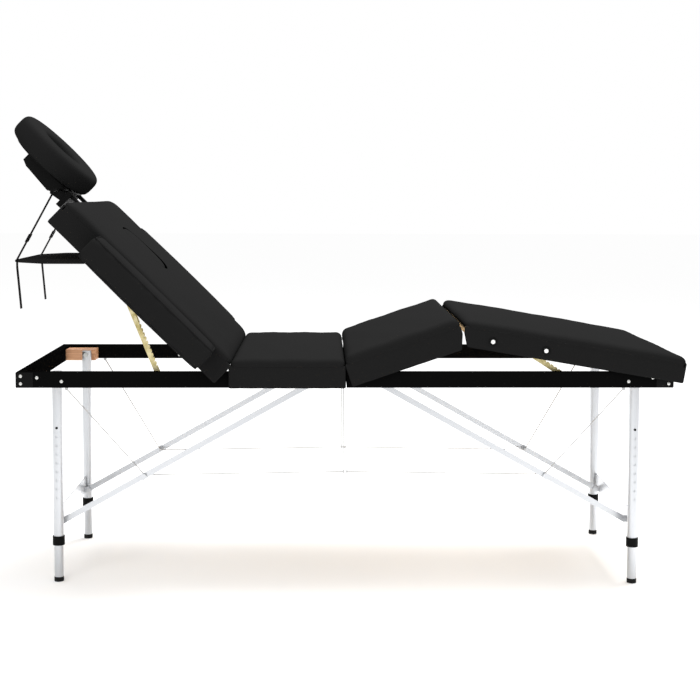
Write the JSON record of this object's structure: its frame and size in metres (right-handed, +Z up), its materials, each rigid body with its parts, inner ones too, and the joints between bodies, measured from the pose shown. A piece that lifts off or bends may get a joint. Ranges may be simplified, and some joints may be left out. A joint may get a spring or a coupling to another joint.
{
  "type": "portable massage table",
  "caption": "Folding padded treatment table with raised back, bent leg end, ring headrest, side armrests, hanging arm shelf and braced telescopic legs.",
  "frame": {"origin": "on the floor, at the middle of the table's overall length and width", "axes": "+X from the head end to the foot end, +Y from the near side to the far side, +Z up"},
  "size_m": [1.856, 0.868, 1.2861],
  "materials": {
    "beech": "satin",
    "black_plastic": "matte",
    "black_rail": "satin",
    "black_steel": "satin",
    "black_vinyl": "satin",
    "hinge_steel": "brushed",
    "leg_aluminium": "satin",
    "plywood": "matte",
    "steel_wire": "polished",
    "webbing": "matte",
    "zinc_steel": "satin"
  },
  "bodies": {
    "head_frame": {"head_rail_near": "black_rail", "head_rail_far": "black_rail", "head_end_rail": "black_rail", "head_mid_rail": "black_rail", "head_blocks": "beech", "head_leg_bolts": "hinge_steel", "seat_board": "plywood", "seat_cushion": "black_vinyl", "head_hinges": "hinge_steel", "head_wires": "steel_wire"},
    "foot_frame": {"foot_rail_near": "black_rail", "foot_rail_far": "black_rail", "foot_end_rail": "black_rail", "foot_mid_rail": "black_rail", "foot_blocks": "beech", "foot_leg_bolts": "hinge_steel", "foot_hinges": "hinge_steel", "foot_wires": "steel_wire"},
    "back": {"back_board": "plywood", "back_cushion": "black_vinyl", "back_fittings": "hinge_steel"},
    "plug": {"face_plug": "black_vinyl"},
    "armrest_near": {"armrest_near": "black_vinyl"},
    "armrest_far": {"armrest_far": "black_vinyl"},
    "headrest_mount": {"headrest_posts": "black_steel"},
    "headrest": {"headrest_cradle": "black_steel", "headrest_cushion": "black_vinyl"},
    "clamp_lever": {"headrest_lever": "black_steel"},
    "shelf": {"arm_shelf": "black_vinyl", "shelf_straps": "webbing"},
    "back_stay_rack": {"back_stay_racks": "zinc_steel"},
    "back_stay_rod": {"back_stay_rods": "zinc_steel"},
    "thigh": {"thigh_board": "plywood", "thigh_cushion": "black_vinyl", "thigh_hinges": "hinge_steel"},
    "calf": {"calf_board": "plywood", "calf_cushion": "black_vinyl", "calf_skirts": "black_vinyl", "calf_fittings": "hinge_steel"},
    "calf_stay": {"calf_stays": "zinc_steel"},
    "head_legs": {"head_leg_near": "leg_aluminium", "head_leg_far": "leg_aluminium", "head_cross_plate": "leg_aluminium", "head_collars": "black_plastic"},
    "head_upper_strut": {"head_upper_struts": "leg_aluminium"},
    "head_lower_strut": {"head_lower_struts": "leg_aluminium"},
    "head_foot_near": {"head_inner_near": "leg_aluminium", "head_clip_near": "black_plastic"},
    "head_foot_far": {"head_inner_far": "leg_aluminium", "head_clip_far": "black_plastic"},
    "foot_legs": {"foot_leg_near": "leg_aluminium", "foot_leg_far": "leg_aluminium", "foot_cross_plate": "leg_aluminium", "foot_collars": "black_plastic"},
    "foot_upper_strut": {"foot_upper_struts": "leg_aluminium"},
    "foot_lower_strut": {"foot_lower_struts": "leg_aluminium"},
    "foot_foot_near": {"foot_inner_near": "leg_aluminium", "foot_clip_near": "black_plastic"},
    "foot_foot_far": {"foot_inner_far": "leg_aluminium", "foot_clip_far": "black_plastic"}
  },
  "joints": [
    {"name": "suitcase_fold", "type": "hinge", "parent": "head_frame", "child": "foot_frame", "pos_m": [0.01807, 0, 0.5485], "axis": [0, 1, 0], "range_deg": [0, 180], "deforming": ["head_wires", "foot_wires"]},
    {"name": "back_recline", "type": "hinge", "parent": "head_frame", "child": "back", "pos_m": [-0.29793, 0, 0.596], "axis": [0, -1, 0], "range_deg": [0, 44.5]},
    {"name": "thigh_tilt", "type": "hinge", "parent": "foot_frame", "child": "thigh", "pos_m": [0.02407, 0, 0.596], "axis": [0, -1, 0], "range_deg": [-18.7, 0]},
    {"name": "calf_tilt", "type": "hinge", "parent": "thigh", "child": "calf", "pos_m": [0.32907, 0, 0.69924], "axis": [0, 1, 0], "range_deg": [-28.4, 0.1]},
    {"name": "calf_stay_turn", "type": "hinge", "parent": "foot_frame", "child": "calf_stay", "pos_m": [0.61807, 0, 0.571], "axis": [0, 1, 0], "range_deg": [-33.1, 0.1]},
    {"name": "back_rack_turn", "type": "hinge", "parent": "head_frame", "child": "back_stay_rack", "pos_m": [-0.48193, 0, 0.571], "axis": [0, -1, 0], "range_deg": [0, 65.61]},
    {"name": "back_rod_turn", "type": "hinge", "parent": "back", "child": "back_stay_rod", "pos_m": [-0.6063, 0, 0.87882], "axis": [0, -1, 0], "range_deg": [0, 21.11]},
    {"name": "plug_lift", "type": "slide", "parent": "back", "child": "plug", "axis": [0.7009, 0, 0.7133], "range_m": [0, 0.05]},
    {"name": "armrest_near_pull", "type": "slide", "parent": "back", "child": "armrest_near", "axis": [0, -1, 0], "range_m": [0, 0.06]},
    {"name": "armrest_far_pull", "type": "slide", "parent": "back", "child": "armrest_far", "axis": [0, 1, 0], "range_m": [0, 0.06]},
    {"name": "headrest_slide", "type": "slide", "parent": "back", "child": "headrest_mount", "axis": [-0.7133, 0, 0.7009], "range_m": [0, 0.06]},
    {"name": "headrest_tilt", "type": "hinge", "parent": "headrest_mount", "child": "headrest", "pos_m": [-0.78508, 0, 1.07472], "axis": [0, -1, 0], "range_deg": [0, 30]},
    {"name": "clamp_lever_turn", "type": "hinge", "parent": "headrest_mount", "child": "clamp_lever", "pos_m": [-0.78757, 0, 1.03651], "axis": [0, -1, 0], "range_deg": [0, 60]},
    {"name": "shelf_level", "type": "hinge", "parent": "headrest_mount", "child": "shelf", "pos_m": [-0.78508, 0, 1.07472], "axis": [0, 1, 0], "range_deg": [0, 44.6]},
    {"name": "head_legs_fold", "type": "hinge", "parent": "head_frame", "child": "head_legs", "pos_m": [-0.76993, 0, 0.571], "axis": [0, -1, 0], "range_deg": [0, 90.1]},
    {"name": "head_upper_strut_turn", "type": "hinge", "parent": "head_frame", "child": "head_upper_strut", "pos_m": [-0.02693, 0, 0.571], "axis": [0, 1, 0], "range_deg": [0, 30.49]},
    {"name": "head_lower_strut_turn", "type": "hinge", "parent": "head_legs", "child": "head_lower_strut", "pos_m": [-0.76293, 0, 0.16], "axis": [0, -1, 0], "range_deg": [0, 59.71]},
    {"name": "head_near_extend", "type": "slide", "parent": "head_legs", "child": "head_foot_near", "axis": [0, 0, -1], "range_m": [0, 0.192], "deforming": ["head_clip_near"]},
    {"name": "head_far_extend", "type": "slide", "parent": "head_legs", "child": "head_foot_far", "axis": [0, 0, -1], "range_m": [0, 0.192], "deforming": ["head_clip_far"]},
    {"name": "foot_legs_fold", "type": "hinge", "parent": "foot_frame", "child": "foot_legs", "pos_m": [0.80607, 0, 0.571], "axis": [0, 1, 0], "range_deg": [0, 90.1]},
    {"name": "foot_upper_strut_turn", "type": "hinge", "parent": "foot_frame", "child": "foot_upper_strut", "pos_m": [0.06307, 0, 0.571], "axis": [0, -1, 0], "range_deg": [0, 30.49]},
    {"name": "foot_lower_strut_turn", "type": "hinge", "parent": "foot_legs", "child": "foot_lower_strut", "pos_m": [0.79907, 0, 0.16], "axis": [0, 1, 0], "range_deg": [0, 59.71]},
    {"name": "foot_near_extend", "type": "slide", "parent": "foot_legs", "child": "foot_foot_near", "axis": [0, 0, -1], "range_m": [0, 0.192], "deforming": ["foot_clip_near"]},
    {"name": "foot_far_extend", "type": "slide", "parent": "foot_legs", "child": "foot_foot_far", "axis": [0, 0, -1], "range_m": [0, 0.192], "deforming": ["foot_clip_far"]}
  ],
  "couplings": [
    {"joint": "calf_tilt", "follows": "thigh_tilt", "ratio": 1.5134},
    {"joint": "calf_stay_turn", "follows": "thigh_tilt", "ratio": 1.7647},
    {"joint": "back_rack_turn", "follows": "back_recline", "ratio": 1.4699},
    {"joint": "back_rod_turn", "follows": "back_recline", "ratio": 0.46993},
    {"joint": "shelf_level", "follows": "back_recline", "ratio": 1},
    {"joint": "head_legs_fold", "follows": "suitcase_fold", "ratio": 0.5},
    {"joint": "head_upper_strut_turn", "follows": "suitcase_fold", "ratio": 0.16882},
    {"joint": "head_lower_strut_turn", "follows": "suitcase_fold", "ratio": 0.33118},
    {"joint": "foot_legs_fold", "follows": "suitcase_fold", "ratio": 0.5},
    {"joint": "foot_upper_strut_turn", "follows": "suitcase_fold", "ratio": 0.16882},
    {"joint": "foot_lower_strut_turn", "follows": "suitcase_fold", "ratio": 0.33118}
  ]
}
